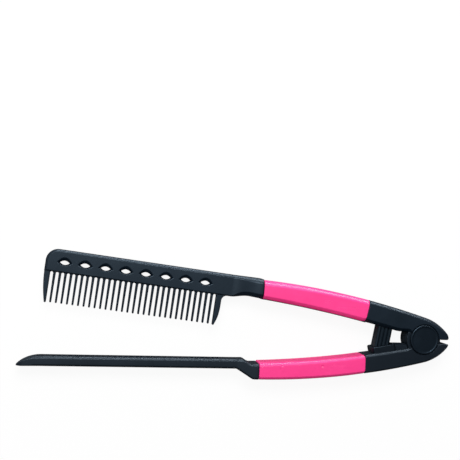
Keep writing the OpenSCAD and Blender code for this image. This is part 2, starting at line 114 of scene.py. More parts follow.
# The crown's height less what the circle has dropped at x
def arcHeight(x, edge):
    return edge["crown"] - edge["radius"] + np.sqrt(edge["radius"] ** 2 - (x + edge["crownX"]) ** 2)


# The same circle up to the pivot, then a smaller circle that is tangent to it there
def noseHeight(x, edge):
    lean = math.asin(edge["crownX"] / edge["radius"])
    r = tool["noseRadius"]
    beyond = np.sqrt(np.maximum(r * r - (x + r * math.sin(lean)) ** 2, 0))
    start = arcHeight(0.0, edge) - r * math.cos(lean)
    return np.where(x < 0, arcHeight(np.minimum(x, 0), edge), start + beyond)


def mix(a, b, t):
    return a + (b - a) * t


def ease(t):  # 3t^2 - 2t^3 between 0 and 1
    t = np.clip(t, 0, 1)
    return t * t * (3 - 2 * t)


# From a to b while x runs through the span
def turnInto(a, b, x, span):
    return mix(a, b, ease((x - span[0]) / (span[1] - span[0])))


def combTop(x):
    return noseHeight(x, edges["combTop"])


def combUnder(x):
    return arcHeight(x, edges["combUnder"])


def pressUnder(x):
    return -noseHeight(x, edges["pressUnder"])


def pressTop(x):
    return -arcHeight(x, edges["pressTop"])


# Inner side of an arm beyond the grip: its edge, which eases to the root's height where it
# meets the hub, then a straight line across the hub to the lip
def innerSide(x, edge, lip, root=None, run=0.0):
    hub = hinge["leafRadius"]
    root = edge(-hub) if root is None else root
    near = mix(root, edge(np.minimum(x, -hub)), ease((-hub - x) / run)) if run else edge(x)
    across = mix(root, lip(hub), np.clip((x + hub) / (2 * hub), 0, 1))
    return np.where(x < -hub, near, np.where(x < hub, across, lip(x)))


def combLip(x):
    return x * math.tan(openTurn) + (tool["mouthMiddle"] + tool["mouthWidth"] / 2) / math.cos(openTurn)


def pressLip(x):
    return tool["mouthMiddle"] - tool["mouthWidth"] / 2


def newObject(name, data):
    made = bpy.data.objects.new(name, data)
    bpy.context.scene.collection.objects.link(made)
    return made


# Vertices and faces become a closed mesh with doubles merged and faces turned outwards
def makeMesh(name, points, faces):
    mesh = bpy.data.meshes.new(name)
    mesh.from_pydata(points.reshape(-1, 3).tolist(), [], faces)
    tidyMesh(mesh, 1e-4)
    return newObject(name, mesh)


def tidyMesh(mesh, distance):
    work = bmesh.new()
    work.from_mesh(mesh)
    bmesh.ops.remove_doubles(work, verts=work.verts, dist=distance)
    bmesh.ops.recalc_face_normals(work, faces=work.faces)
    work.to_mesh(mesh)
    work.free()
    mesh.update()


# Quads between row i and row i + 1 of a grid of points, each row closed on itself
def gridFaces(rows, columns, first=0):
    i, k = np.arange(rows - 1)[:, None], np.arange(columns)[None, :]
    a, b = first + i * columns + k, first + i * columns + (k + 1) % columns
    return pointsOf(a, b, b + columns, a + columns).reshape(-1, 4).tolist()


# Rings (rows x points x 3) joined in order, with the first and last ring filled
def loft(name, rings):
    rows, columns = rings.shape[:2]
    faces = gridFaces(rows, columns)
    faces.append(list(range(columns))[::-1])
    faces.append(list(range((rows - 1) * columns, rows * columns)))
    return makeMesh(name, rings, faces)


# Several lofts in one mesh: copies x rows x points x 3
def rowOfSolids(name, points):
    copies, rows, columns = points.shape[:3]
    first = rows * columns * np.arange(copies)[:, None, None]
    sides = (first + np.array(gridFaces(rows, columns))[None]).reshape(-1, 4).tolist()
    caps = np.stack([np.arange(columns)[::-1], (rows - 1) * columns + np.arange(columns)])
    return makeMesh(name, points, sides + (first + caps[None]).reshape(-1, columns).tolist())


# A pipe with a wall: outer and inner rings of equal size, joined by flat ends
def pipe(name, outer, inner):
    rows, columns = outer.shape[:2]
    shift = rows * columns
    faces = gridFaces(rows, columns) + gridFaces(rows, columns, first=shift)
    k = np.arange(columns)
    n = (k + 1) % columns
    for row in (0, rows - 1):
        at = row * columns
        faces += pointsOf(at + k, at + n, shift + at + n, shift + at + k).tolist()
    return makeMesh(name, np.concatenate([outer, inner]), faces)


# Circle of radius r at height z for each (r, z) of the profile
def turned(profile, turns=96):
    profile = np.array(profile, float)
    a = np.linspace(0, 2 * np.pi, turns, endpoint=False)
    r, z = profile[:, :1], profile[:, 1:]
    return pointsOf(r * np.cos(a), r * np.sin(a), z)


def revolve(name, profile, turns=96):
    return loft(name, turned(profile, turns))


# A profile of (radius, z) pairs, or one such profile for each angle, turned about the pivot;
# angles run from -X towards -Y
def arcRings(profile, angles):
    a = np.radians(angles)[:, None]
    r, z = profile[..., 0], profile[..., 1]
    return pointsOf(-r * np.cos(a), -r * np.sin(a), z)


# Quarter superellipse: cosines and sines of a quarter turn, each to the power 2 / power
def softCorner(steps, power):
    u = quarter(steps)
    return np.cos(u).clip(0) ** (2 / power), np.sin(u) ** (2 / power)


# Rectangle with soft corners, centred on (centre, 0). Half sizes in a column make one
# rectangle for each row.
def softBox(centre, halfWide, halfDeep, corner, power=2.0, steps=5):
    c, s = softCorner(steps, power)
    w, d = halfWide - corner, halfDeep - corner
    r = np.concatenate([w + corner * c, -w - corner * s, -w - corner * c, w + corner * s], -1)
    z = np.concatenate([d + corner * s, d + corner * c, -d - corner * s, -d - corner * c], -1)
    return pointsOf(centre + r, z)


# Sections across X for a whole row table at once. Columns of rows: x, low, high, half
# thickness, top corner in y, top corner in z, lower corner in y, lower corner in z.
def sections(rows):
    x, low, high, deep, topY, topZ, lowY, lowZ = [column[:, None] for column in rows.T]
    fit = np.minimum(1, 0.94 * (high - low) / np.maximum(topY + lowY, 1e-6))
    topY, lowY = topY * fit, lowY * fit
    c, s = softCorner(tool["cornerSteps"], tool["cornerPower"])
    y = [high - topY * (1 - c), low + lowY * (1 - s), low + lowY * (1 - c), high - topY * (1 - s)]
    z = [deep - topZ * (1 - s), deep - lowZ * (1 - c), -deep + lowZ * (1 - s), -deep + topZ * (1 - c)]
    y, z = np.concatenate(y, 1), np.concatenate(z, 1)
    return pointsOf(x, y, z)


# Row table from arrays or numbers; the z size of a corner is its y size unless given
def rowTable(x, low, high, deep, top, under, topZ=None, underZ=None):
    topZ = top if topZ is None else topZ
    return pointsOf(x, low, high, deep, top, topZ, under, under if underZ is None else underZ)


# Rounds the end of a run of rows: the outline draws in by r (1 - cos v) as x gains r sin v
def roundEnd(table, r, forward=True, steps=6, share=1.0):
    v = quarter(steps)[1:]
    last = table[-1] if forward else table[0]
    rows = np.repeat(last[None, :], steps, 0)
    draw = r * (1 - np.cos(v)) * share
    rows[:, 0] += (1 if forward else -1) * r * np.sin(v)
    rows[:, 1] += draw
    rows[:, 2] -= draw
    rows[:, 3] -= draw
    return np.concatenate([table, rows]) if forward else np.concatenate([rows[::-1], table])


# Each joint of a grip and its arm is bowed a little: x moves by the bow at that height,
# fading as a bell curve away from the joint
joints = {
    "combFar": {"x": -96.4, "bow": lambda y: -0.06 * (y - 16.0)},
    "combNear": {"x": -35.3, "bow": lambda y: 0.085 * (y - 13.2)},
    "pressNear": {"x": -34.4, "bow": lambda y: 0.317 - 0.0315 * (y + 14.53) ** 2},
}


def bowJoints(rings, *names):
    x, y = rings[..., 0].copy(), rings[..., 1]
    for name in names:
        joint = joints[name]
        rings[..., 0] += joint["bow"](y) * np.exp(-((x - joint["x"]) / 6.0) ** 2)
    return rings


# Exact boolean: the piece takes in what is joined, then loses what is cut; both are used up
def cutOrJoin(piece, join=(), cut=()):
    for operation, others in (("UNION", join), ("DIFFERENCE", cut)):
        for other in others:
            change = piece.modifiers.new(operation, "BOOLEAN")
            change.operation = operation
            change.solver = "EXACT"
            change.object = other
    bpy.context.view_layer.update()
    graph = bpy.context.evaluated_depsgraph_get()
    used = (*join, *cut)
    spare = [piece.data, *used, *(other.data for other in used)]
    piece.data = bpy.data.meshes.new_from_object(piece.evaluated_get(graph))
    piece.modifiers.clear()
    bpy.data.batch_remove(spare)
    tidyMesh(piece.data, 4e-4)


# How many edges don't have exactly two faces
def openEdges(mesh):
    loops = np.empty(len(mesh.loops), int)
    mesh.loops.foreach_get("edge_index", loops)
    return np.count_nonzero(np.bincount(loops, minlength=len(mesh.edges)) != 2)


# Turns a finished piece into the shared frame in metres, shades it and hands it over
def place(piece, body, finish, nodes, onComb=False, crease=34, weighted=True):
    turn = Matrix.Rotation(-openTurn if onComb else 0.0, 4, "Z")
    move = Matrix.Translation((0, 0, half))
    piece.data.transform(Matrix.Scale(0.001, 4) @ move @ turn)
    piece.data.materials.clear()
    piece.data.materials.append(materials[finish])
    piece.data.shade_smooth()
    piece.data.set_sharp_from_angle(angle=math.radians(crease))
    if weighted:
        soften = piece.modifiers.new("evenNormals", "WEIGHTED_NORMAL")
        soften.keep_sharp = True
        soften.weight = 80
    if body:
        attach(piece, body)
    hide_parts(*nodes)
    print(f"{piece.name}: {len(piece.data.vertices)} points, {openEdges(piece.data)} open edges")


def newMaterial(name):
    material = bpy.data.materials.new(name)
    material.use_nodes = True
    material.node_tree.nodes.clear()
    return material, material.node_tree


# Links an input to another node's socket, or gives it a plain value
def feed(tree, target, value):
    if isinstance(value, bpy.types.NodeSocket):
        tree.links.new(value, target)
    else:
        target.default_value = value


# New node to the right of the last one. Unnamed values feed its inputs in order; a named
# value is a setting of the node, or else feeds the input of that name.
def node(tree, kind, *inputs, **named):
    made = tree.nodes.new(kind)
    made.location = (180 * len(tree.nodes), 0)
    for name, value in named.items():
        if hasattr(made, name):
            setattr(made, name, value)
        else:
            feed(tree, made.inputs[name.replace("_", " ")], value)
    for target, value in zip(made.inputs, inputs):
        feed(tree, target, value)
    return made


def maths(tree, operation, *values):
    return node(tree, "ShaderNodeMath", *values, operation=operation).outputs[0]


# A run from start to end becomes one from low to high, and holds beyond both ends
def ramp(tree, value, start, end, low=0.0, high=1.0, kind="SMOOTHSTEP"):
    return node(tree, "ShaderNodeMapRange", value, start, end, low, high, interpolation_type=kind).outputs[0]


def noise(tree, at, scale, detail, roughness, distortion=0.0):
    return node(tree, "ShaderNodeTexNoise", Vector=at, Scale=scale, Detail=detail, Roughness=roughness,
                Distortion=distortion).outputs["Fac"]


# Fine grain, soft clouds and flow marks drawn out along X. The roughness is its base plus the
# spread times how far the three lie off their mean; the height is grain plus half the flow.
def mouldedGroup():
    group = bpy.data.node_groups.new("mouldedFinish", "ShaderNodeTree")
    for side, names in (("INPUT", ("Grain Scale", "Cloud Scale", "Roughness", "Spread")),
                        ("OUTPUT", ("Cloud", "Roughness", "Height"))):
        for name in names:
            group.interface.new_socket(name, in_out=side, socket_type="NodeSocketFloat")
    start = node(group, "NodeGroupInput").outputs
    at = node(group, "ShaderNodeTexCoord").outputs["Object"]
    drawn = node(group, "ShaderNodeMapping", Vector=at, Scale=(0.08, 1.0, 1.0)).outputs[0]
    grain = noise(group, at, start["Grain Scale"], 3.0, 0.6)
    cloud = ramp(group, noise(group, at, start["Cloud Scale"], 4.0, 0.55, 0.4), 0.3, 0.7, kind="LINEAR")
    flow = noise(group, drawn, 420.0, 2.0, 0.5)
    total = maths(group, "ADD", maths(group, "ADD", grain, flow), cloud)
    off = maths(group, "SUBTRACT", total, 1.5)
    rough = maths(group, "MULTIPLY_ADD", off, start["Spread"], start["Roughness"])
    node(group, "NodeGroupOutput", cloud, rough, maths(group, "MULTIPLY_ADD", flow, 0.5, grain))
    return group


mouldedFinish = mouldedGroup()

# What the finishes share, and under each name what it has of its own
moulding = {"roughness": 0.33, "edgeRoughness": 0.78, "spread": 0.05, "grain": 2600.0, "bump": 0.10,
            "bumpDepth": 0.0001, "specular": 0.5, "metallic": 0.0, "tint": (1.0, 1.0, 1.0),
            "edge": (0.5, 0.82)}
finishes = {
    "blackPlastic": {"dark": (0.0030, 0.0066, 0.0120), "light": (0.0050, 0.0098, 0.0170),
                     "cloud": 55.0, "tint": (0.62, 0.82, 1.0)},
    # the press arm is the same black plastic; its lighter, greyer base colour is painted light, standing in
    # for the extra light that falls on the press side
    "pressBlackPaintedLighter": {"dark": (0.0034, 0.0060, 0.0104), "light": (0.0054, 0.0088, 0.0143),
                     "cloud": 48.0, "tint": (0.66, 0.84, 1.0)},
    # the collar is a separate, glossier moulding; its base colour is also darkened well below the black
    # plastic, as painted shade for the deep shade between the arms
    "collarPlasticPaintedShade": {"dark": (0.0014, 0.0024, 0.0042), "light": (0.0026, 0.0042, 0.0068),
                      "cloud": 90.0, "tint": (0.56, 0.78, 1.0), "roughness": 0.32, "bump": 0.08},
    # the post is a separate, glossier moulding; its base colour is also darkened well below the black
    # plastic, as painted shade for the deep shade between the arms
    "postPlasticPaintedShade": {"dark": (0.0010, 0.0020, 0.0038), "light": (0.0020, 0.0036, 0.0062),
                    "cloud": 90.0, "tint": (0.50, 0.76, 1.0), "roughness": 0.20, "edgeRoughness": 0.80,
                    "spread": 0.04, "bump": 0.06, "specular": 0.6},
    "discPlastic": {"dark": (0.0022, 0.0040, 0.0068), "light": (0.0038, 0.0066, 0.0106),
                    "cloud": 110.0, "tint": (0.50, 0.74, 1.0), "roughness": 0.30, "bump": 0.06},
    "pinkPlastic": {"dark": (0.90, 0.038, 0.236), "light": (0.96, 0.053, 0.274), "cloud": 40.0,
                    "roughness": 0.26, "edgeRoughness": 0.68, "grain": 3000.0, "bump": 0.08},
    "springSteel": {"dark": (0.50, 0.50, 0.51), "light": (0.66, 0.66, 0.68), "cloud": 160.0, "metallic": 1.0,
                    "roughness": 0.28, "edgeRoughness": None, "spread": 0.10, "grain": 4200.0,
                    "bump": 0.12, "bumpDepth": 0.00005},
}


def finishMaterial(name):
    look = {**moulding, **finishes[name]}
    material, tree = newMaterial(name)
    surface = node(tree, "ShaderNodeGroup", look["grain"], look["cloud"], look["roughness"], look["spread"],
                   node_tree=mouldedFinish).outputs
    colour = node(tree, "ShaderNodeMix", surface["Cloud"], data_type="RGBA")
    colour.inputs[6].default_value = (*look["dark"], 1)
    colour.inputs[7].default_value = (*look["light"], 1)
    bump = node(tree, "ShaderNodeBump", Strength=look["bump"], Distance=look["bumpDepth"],
                Height=surface["Height"])
    rough = surface["Roughness"]
    if look["edgeRoughness"]:  # the fine moulded grain hides mirror gloss on a surface seen edge-on
        facing = node(tree, "ShaderNodeLayerWeight", Blend=0.5).outputs["Facing"]
        matter = ramp(tree, facing, *look["edge"], 0.0, look["edgeRoughness"])
        rough = maths(tree, "MAXIMUM", rough, matter)
    shader = node(tree, "ShaderNodeBsdfPrincipled", Base_Color=colour.outputs[2], Roughness=rough,
                  Normal=bump.outputs[0], Metallic=look["metallic"], IOR=1.5,
                  Specular_IOR_Level=look["specular"], Specular_Tint=(*look["tint"], 1))
    node(tree, "ShaderNodeOutputMaterial", Surface=shader.outputs[0])
    return material


materials = {name: finishMaterial(name) for name in finishes}
print("materials ready")


hinge = {
    "leafRadius": 10.0, "rimRadius": 10.3, "leafEdge": 0.3, "leafSkin": 0.02,
    "middleLeaf": 1.05, "combLeaf": (1.25, 3.35), "outerLeaf": (3.55, 5.65),
    "boreRadius": 2.55, "headRadius": 4.55, "headSeat": 4.6,
    "combCapRoom": 8.6, "combCapFloor": 5.85, "pressCapRoom": 8.55, "rimBevel": 0.35,
}


# Flat discs whose two edges are rounded off, one for each span of z
def leaves(*spans):
    r, e, skin = hinge["leafRadius"], hinge["leafEdge"], hinge["leafSkin"]
    profiles = [np.concatenate([arc(r - e, low + skin + e, e, -np.pi / 2, 0, 4),
                                arc(r - e, high - skin - e, e, 0, np.pi / 2, 4)]) for low, high in spans]
    return rowOfSolids("leaves", np.stack([turned(profile) for profile in profiles]))


# Stepped hollow that the other arm's leaves turn in, as (radius, z) from the middle out;
# it ends in a bevel of the hub's rim and runs on past the arm's face
def hollow(name, steps, cap):
    b, over = hinge["rimBevel"], tool["over"]
    outward = np.array(steps + [(cap, armHalf - b), (cap + b + over, armHalf + over)])
    return revolve(name, np.concatenate([outward[::-1] * (1, -1), outward]), turns=128)


def combHollow():
    rim, bore, cap = hinge["rimRadius"], hinge["boreRadius"], hinge["combCapRoom"]
    floor, (inner, outer) = hinge["combCapFloor"], hinge["combLeaf"]
    steps = [(rim, inner), (bore, inner), (bore, outer), (rim, outer), (rim, floor), (cap, floor)]
    return hollow("combHollow", steps, cap)


def pressHollow():
    rim, bore, cap = hinge["rimRadius"], hinge["boreRadius"], hinge["pressCapRoom"]
    middle, head, seat = hinge["middleLeaf"], hinge["headRadius"], hinge["headSeat"]
    inner, outer = hinge["outerLeaf"]
    steps = [(bore, middle), (rim, middle), (rim, inner), (bore, inner), (bore, seat), (head, seat),
             (head, outer), (cap, outer)]
    return hollow("pressHollow", steps, cap)


combArm = {
    "teeth": 30, "pitch": 3.0, "reach": 124.1, "toothLength": 16.8, "rootWidth": 1.45, "tipWidth": 1.1,
    "toothDepth": 3.0, "toothEdge": 0.48, "toothRound": 1.1, "rootHeight": 8.9, "rootBevel": 0.8,
    "rootFlat": 1.3, "guardWidth": 3.4, "guardTip": 1.2, "guardLength": 17.1, "heelFillet": 3.0,
    "spineHeight": 12.5, "spineDepth": 4.6, "spineBevel": 1.3, "bevelGain": 0.55, "bevelGainDeep": 0.385,
    "spineFall": 0.3, "cornerRadius": 6.6,
    "vents": 8, "ventPitch": 11.1, "ventRise": 5.5, "ventLength": 5.2, "ventHeight": 2.3, "ventFlare": 1.6,
    "ventUnder": 0.45, "ventEnds": 1.35,
    "neckBevel": 2.6, "neckTop": 2.5, "neckTopDeep": 2.2, "neckSwell": 0.3, "neckFlat": (0.6, 1.0),
    "underBevel": 2.1, "shoulder": 0.7, "shoulderRound": 0.7,
    "gripFar": -96.4, "gripNear": -35.3,
    "ribHalf": 3.25, "ribProud": 0.45, "ribHeight": 4.2, "ribBevel": 0.4,
    "tailBevel": 2.0, "tailBend": -16.0, "root": 3.2, "rootRun": 9.0, "lipSpan": (-10.0, -6.0),
    "noseBevel": 1.2, "noseSpan": (8.0, 14.0), "noseEnd": 1.1, "noseShare": 0.85,
}
gap = combArm["pitch"] - combArm["rootWidth"]
lastTooth = -combArm["reach"]
firstTooth = lastTooth - (combArm["teeth"] - 1) * combArm["pitch"]
endInner = firstTooth - combArm["rootWidth"] / 2 - gap
endOuter = endInner - combArm["guardWidth"]
heelInner = lastTooth + combArm["rootWidth"] / 2 + gap
heelOuter = heelInner + combArm["guardWidth"]
neckStart = heelOuter + combArm["heelFillet"] + 1.5
toothPlaces = firstTooth + combArm["pitch"] * np.arange(combArm["teeth"])


# Spine: the upper corner is a quarter circle seen from the front. Its bevel follows the
# distance to the outline, so the end face is drawn in and the corner's bevel widens in y.
def spineRows():
    d = combArm
    r, b, deep = d["cornerRadius"], d["spineBevel"], d["spineDepth"] / 2
    top, p = d["rootHeight"] + d["spineHeight"], tool["cornerPower"]
    a = np.radians(np.linspace(0, 90, 19))
    s = r * (1 - np.cos(a))
    outline = top - r + r * np.sin(a)
    inner = top - r + np.sqrt(np.maximum((r - b) ** 2 - (r - s) ** 2, 0))
    drop = np.clip(1 - s / b, 0, 1)
    thick = deep - b + b * (1 - drop ** p) ** (1 / p)
    lower = np.maximum(thick - d["rootFlat"], 0.02)
    corner = rowTable(endOuter + s, d["rootHeight"], outline, thick, outline - inner, d["rootBevel"] * lower,
                      thick - (deep - b) + 1e-3, lower)
    x = np.linspace(endOuter + r, neckStart, 14)[1:]
    t = (x - x[0]) / (x[-1] - x[0])
    straight = rowTable(x, d["rootHeight"], top - d["spineFall"] * t, deep, b + d["bevelGain"] * t,
                        d["rootBevel"], b + d["bevelGainDeep"] * t, deep - d["rootFlat"])
    return np.concatenate([corner, straight])


# The neck's low side reaches the grip's height early, with a slight swell sin^2 in the middle;
# the thickness and the bevels grow on the way
def neckRows():
    d = combArm
    x1 = d["gripFar"]
    t = np.linspace(0, 1, 27)[1:]
    x = mix(neckStart, x1 - d["shoulderRound"], t)
    low = mix(d["rootHeight"], combUnder(x1), ease(1.6 * t)) + d["neckSwell"] * np.sin(np.pi * t) ** 2
    high = mix(d["rootHeight"] + d["spineHeight"] - d["spineFall"], combTop(x1) + d["shoulder"], t)
    deep = mix(d["spineDepth"] / 2, armHalf, ease(t))
    topY = mix(d["spineBevel"] + d["bevelGain"], d["neckTop"], ease(1.2 * t))
    topZ = mix(d["spineBevel"] + d["bevelGainDeep"], d["neckTopDeep"], ease(t))
    grown = ease(2.6 * t)
    lowY, lowZ = mix(d["rootBevel"], d["neckBevel"], grown), mix(1.0, d["underBevel"], grown)
    rows = rowTable(x, low, high, deep, topY, lowY, topZ=np.minimum(topZ, deep - d["neckFlat"][0]),
                    underZ=np.minimum(lowZ, deep - d["neckFlat"][1]))
    return roundEnd(rows, d["shoulderRound"], share=0.8)


# The arm goes on under its grip, a wall's thickness further in
def coreRows(d, under, top):
    x, wall, b = np.linspace(d["gripFar"], d["gripNear"], 24), tool["wall"], tool["coreBevel"]
    return rowTable(x, under(x) + wall, top(x) - wall, armHalf - wall, b, b)


# Places of a tail's rows, which stand closer at the hub
def tailPlaces(d, counts):
    bend, hub = d["tailBend"], hinge["leafRadius"]
    near, nose = d["gripNear"] + tool["tailRound"], tool["noseReach"] - d["noseEnd"]
    spans = ((near, bend), (bend + 1, hub), (hub, nose))
    runs = [np.linspace(*span, count) for span, count in zip(spans, counts)]
    return np.concatenate([runs[0], runs[1][:-1], runs[2]])


# Rounds both ends of a tail. The outer edge, in the column given, keeps its curve while the
# nose is rounded.
def roundTail(d, rows, edge, column):
    rows = roundEnd(rows, tool["tailRound"], forward=False, steps=4)
    end = roundEnd(rows, d["noseEnd"], share=d["noseShare"])
    extra = end[len(rows):]
    extra[:, column] += edge(extra[:, 0]) - edge(rows[-1, 0])
    extra[:, 4:6] = np.minimum(extra[:, 4:6], tool["noseTip"])
    return end


def combTailRows():
    d = combArm
    x = tailPlaces(d, (14, 34, 8))
    inner = innerSide(x, combUnder, combLip, root=d["root"], run=d["rootRun"])
    lower = turnInto(d["underBevel"], tool["lipBevel"], x, d["lipSpan"])
    upper = turnInto(d["tailBevel"], d["noseBevel"], x, d["noseSpan"])
    return roundTail(d, rowTable(x, inner, combTop(x), armHalf, upper, lower), combTop, 2)


# One tooth with the gap to its left: half circle on the root line, down, round the tip and up
def toothOutline():
    d = combArm
    root, r, g = d["rootHeight"], d["tipWidth"] / 2, gap / 2
    tipY = root + r - d["toothLength"]
    t = np.linspace(0, 1, 4)
    left = pointsOf(-mix(d["rootWidth"], d["tipWidth"], t) / 2, mix(root - g, tipY, t))
    right = left[::-1] * (-1, 1)
    return np.concatenate([arc(-d["pitch"] / 2, root - g, g, np.pi, 0, 8)[:-1], left,
                           arc(0, tipY, r, np.pi, 2 * np.pi, 8)[1:-1], right[:-1]])


# The whole comb below the spine as one outline, from the end guard to the heel guard. The end
# guard leans in by t^2, the heel guard by t^3, and both reach up into the spine.
def combOutline():
    d = combArm
    teeth = (toothOutline() + pointsOf(toothPlaces, 0)[:, None, :]).reshape(-1, 2)
    g, r, f = gap / 2, d["guardTip"] / 2, d["heelFillet"]
    lastArch = arc(lastTooth + d["pitch"] / 2, d["rootHeight"] - g, g, np.pi, 0, 8)
    top, heelTop = d["rootHeight"] + tool["over"], d["rootHeight"] - f
    tipY = d["rootHeight"] - d["guardLength"] + r
    sweep, skin = d["guardWidth"] - d["guardTip"], 0.08
    t = np.linspace(0, 1, 14)
    outer = pointsOf(endOuter + skin + (sweep - skin) * t ** 2, mix(top, tipY, t))
    endTip, heelTip = (arc(x, tipY, r, np.pi, 2 * np.pi, 10)[1:] for x in (endInner - r, heelInner + r))
    heel = pointsOf(heelOuter - sweep * t ** 3, mix(heelTop, tipY, t))[::-1][1:]
    fillet = arc(heelOuter + f, heelTop, f, np.pi, np.pi / 2 + 0.1, 8)[1:]
    return np.concatenate([outer, endTip, teeth, lastArch, [(heelInner, tipY)], heelTip, heel, fillet,
                           [(fillet[-1, 0] + 0.05, top)]])


# The outline is carried through the thickness; near each face it draws in along a quarter
# ellipse, by e (1 - cos v) over a depth of f sin v, which makes the teeth nearly round
def toothComb():
    d = combArm
    line = combOutline()
    line = line[np.linalg.norm(line - np.roll(line, 1, 0), axis=1) > 1e-3]
    ahead = np.roll(line, -1, 0) - line
    ahead /= np.linalg.norm(ahead, axis=1)[:, None]
    behind = np.roll(ahead, 1, 0)
    normal = pointsOf(-(ahead + behind)[:, 1], (ahead + behind)[:, 0])
    normal /= np.linalg.norm(normal, axis=1)[:, None]
    e, f, deep = d["toothEdge"], d["toothRound"], d["toothDepth"] / 2
    v = quarter(6)
    inset = np.concatenate([e * (1 - np.sin(v)), e * (1 - np.cos(v))])
    z = np.concatenate([-deep + f - f * np.cos(v), deep - f + f * np.sin(v)])
    drawn = line + normal * inset[:, None, None]
    rings = pointsOf(drawn[..., 0], drawn[..., 1], z[:, None])
    rows, columns = rings.shape[:2]
    fill = np.array(tessellate_polygon([(rings[0] * (1, 1, 0)).tolist()]))
    faces = gridFaces(rows, columns) + fill.tolist() + (fill[:, ::-1] + (rows - 1) * columns).tolist()
    return makeMesh("toothComb", rings, faces)


# Eye-shaped vents: two arcs of height h (1 - s^2) over the eye's width, where s runs from
# -1 to 1. From the throat to the face the eye grows by the flare, mostly upwards.
def ventCutters():
    d = combArm
    deep, flare = d["spineDepth"] / 2, d["ventFlare"]
    grow = np.array([0, 0, 0.10, 0.45, 0.80, 1.0, 1.18, 1.42, 1.5])
    z = np.array([0, 1 - flare / deep, 1 - 0.85 * flare / deep, 1 - 0.5 * flare / deep,
                  1 - 0.18 * flare / deep, 0.965, 0.99, 1.01, 1.4]) * deep
    grow = np.concatenate([grow[::-1], grow[1:]])[:, None]
    z = np.concatenate([-z[::-1], z[1:]])[:, None]
    s = np.cos(np.linspace(0, np.pi, 17))[None, :-1]
    wide = (d["ventLength"] / 2 + d["ventEnds"] * grow) * s
    upper = (d["ventHeight"] / 2 + flare * grow) * (1 - s ** 2)
    lower = (d["ventHeight"] / 2 + d["ventUnder"] * grow) * (1 - s ** 2)
    ring = pointsOf(np.concatenate([wide, -wide], 1), np.concatenate([upper, -lower], 1), z)
    middle = (firstTooth + lastTooth) / 2
    at = middle + (np.arange(d["vents"]) - (d["vents"] - 1) / 2) * d["ventPitch"]
    shift = pointsOf(at, d["rootHeight"] + d["ventRise"], 0)
    return rowOfSolids("vents", ring[None] + shift[:, None, None, :])


def combRib():
    d = combArm
    x = np.linspace(d["gripFar"] - 0.3, d["gripNear"] + 0.4, 24)
    low, b = combUnder(x), d["ribBevel"]
    rows = rowTable(x, low - d["ribProud"], low + d["ribHeight"], d["ribHalf"], b, b)
    return loft("combRib", sections(rows))


guide = {
    "reach": 23.8, "width": 10.0, "deep": 8.0, "bore": 3.1, "bevel": 0.8,
    "fluteWidth": 1.1, "fluteDeep": 0.5, "fluteStep": 2.2,
    "postInner": 18.75, "postOuter": 27.2, "lean": 10.0, "straight": 19.5,
    "seat": 25.0, "drop": 24.5, "well": 31.5,   # angles seen from the pivot
    "seatCorner": 0.75, "gap": 0.3, "play": 0.05,
    "wall": 1.5, "rim": 9.6, "foot": 20.0, "collarCorner": 1.3, "boreCorner": 0.5, "rimRound": 0.4,
    "coil": 2.45, "wire": 0.4, "turns": 9, "springEnd": 1.6,
}
postMiddle = (guide["postInner"] + guide["postOuter"]) / 2
postHalf = (guide["postOuter"] - guide["postInner"]) / 2
boreWide, boreDeep = guide["width"] / 2 + guide["gap"], guide["deep"] / 2 + guide["gap"]


# The post is straight where it shows and stays inside a ring about the pivot, so it never
# meets its well: a line at distance q from the pivot has the radius q / cos(a - lean) at
# angle a, and past the straight part that ratio keeps its last value
def postRings(profile, angles):
    rings = arcRings(profile, angles)
    lean = angles + guide["lean"] - tool["openAngle"]
    stretch = 1 / np.cos(np.radians(np.clip(lean, -guide["straight"], guide["straight"])))
    rings[..., :2] *= stretch[:, None, None]
    return rings


def postSeat():
    d = guide
    play = d["play"]
    profile = softBox(postMiddle, postHalf + play, d["deep"] / 2 + play, d["seatCorner"], power=1.2)
    return loft("postSeat", postRings(profile, np.linspace(-d["seat"] - 0.1, d["drop"], 81)))


def buildCombArm():
    core = coreRows(combArm, combUnder, combTop)
    rows = np.concatenate([spineRows(), neckRows(), core, combTailRows()])
    piece = loft("combArm", bowJoints(sections(rows), "combFar", "combNear"))
    low, high = hinge["combLeaf"]
    cutOrJoin(piece, join=(toothComb(), combRib(), leaves((low, high), (-high, -low))),
              cut=(ventCutters(), combHollow(), postSeat()))
    place(piece, "comb_side", "blackPlastic", ["comb_arm"], onComb=True)


buildCombArm()


grips = {
    "clear": 0.05, "endRound": 0.45,
    "comb": {"far": -96.4, "near": -35.3, "top": 2.6, "under": 2.1, "nearCorner": 1.5, "slotHalf": 3.3,
             "lip": 0.3},
    "press": {"far": -95.2, "near": -34.4, "top": 1.75, "under": 1.7, "nearCorner": 0.0},
}


# Outer and inner sections of a grip for every x. Both ends are drawn in by the quarter
# circle endRound (1 - sin v), and the underside rises by another one near the hub.
def gripRings(d, low, high):
    v = quarter(5)
    r, c, n = grips["endRound"], grips["clear"], d["nearCorner"]
    far, near = d["far"] + c, d["near"] - c
    middle = np.linspace(far + r, near - r, 40)[1:-1]
    along, inward = r * (1 - np.cos(v)), r * (1 - np.sin(v))
    x = np.concatenate([far + along, middle, (near - along)[::-1]])
    draw = np.concatenate([inward, 0 * middle, inward[::-1]])
    past = np.clip(n - (near - x), 0, n)
    bottom = low(x) + 0.8 * (n - np.sqrt(np.maximum(n * n - past * past, 0))) + draw
    outer = sections(rowTable(x, bottom, high(x) - draw, half - draw, d["top"], d["under"]))
    w, b = tool["wall"] - c, tool["coreBevel"]
    inner = sections(rowTable(x, low(x) + w, high(x) - w, armHalf - w, b, b))
    return x, outer, inner, bottom, low(x) + w


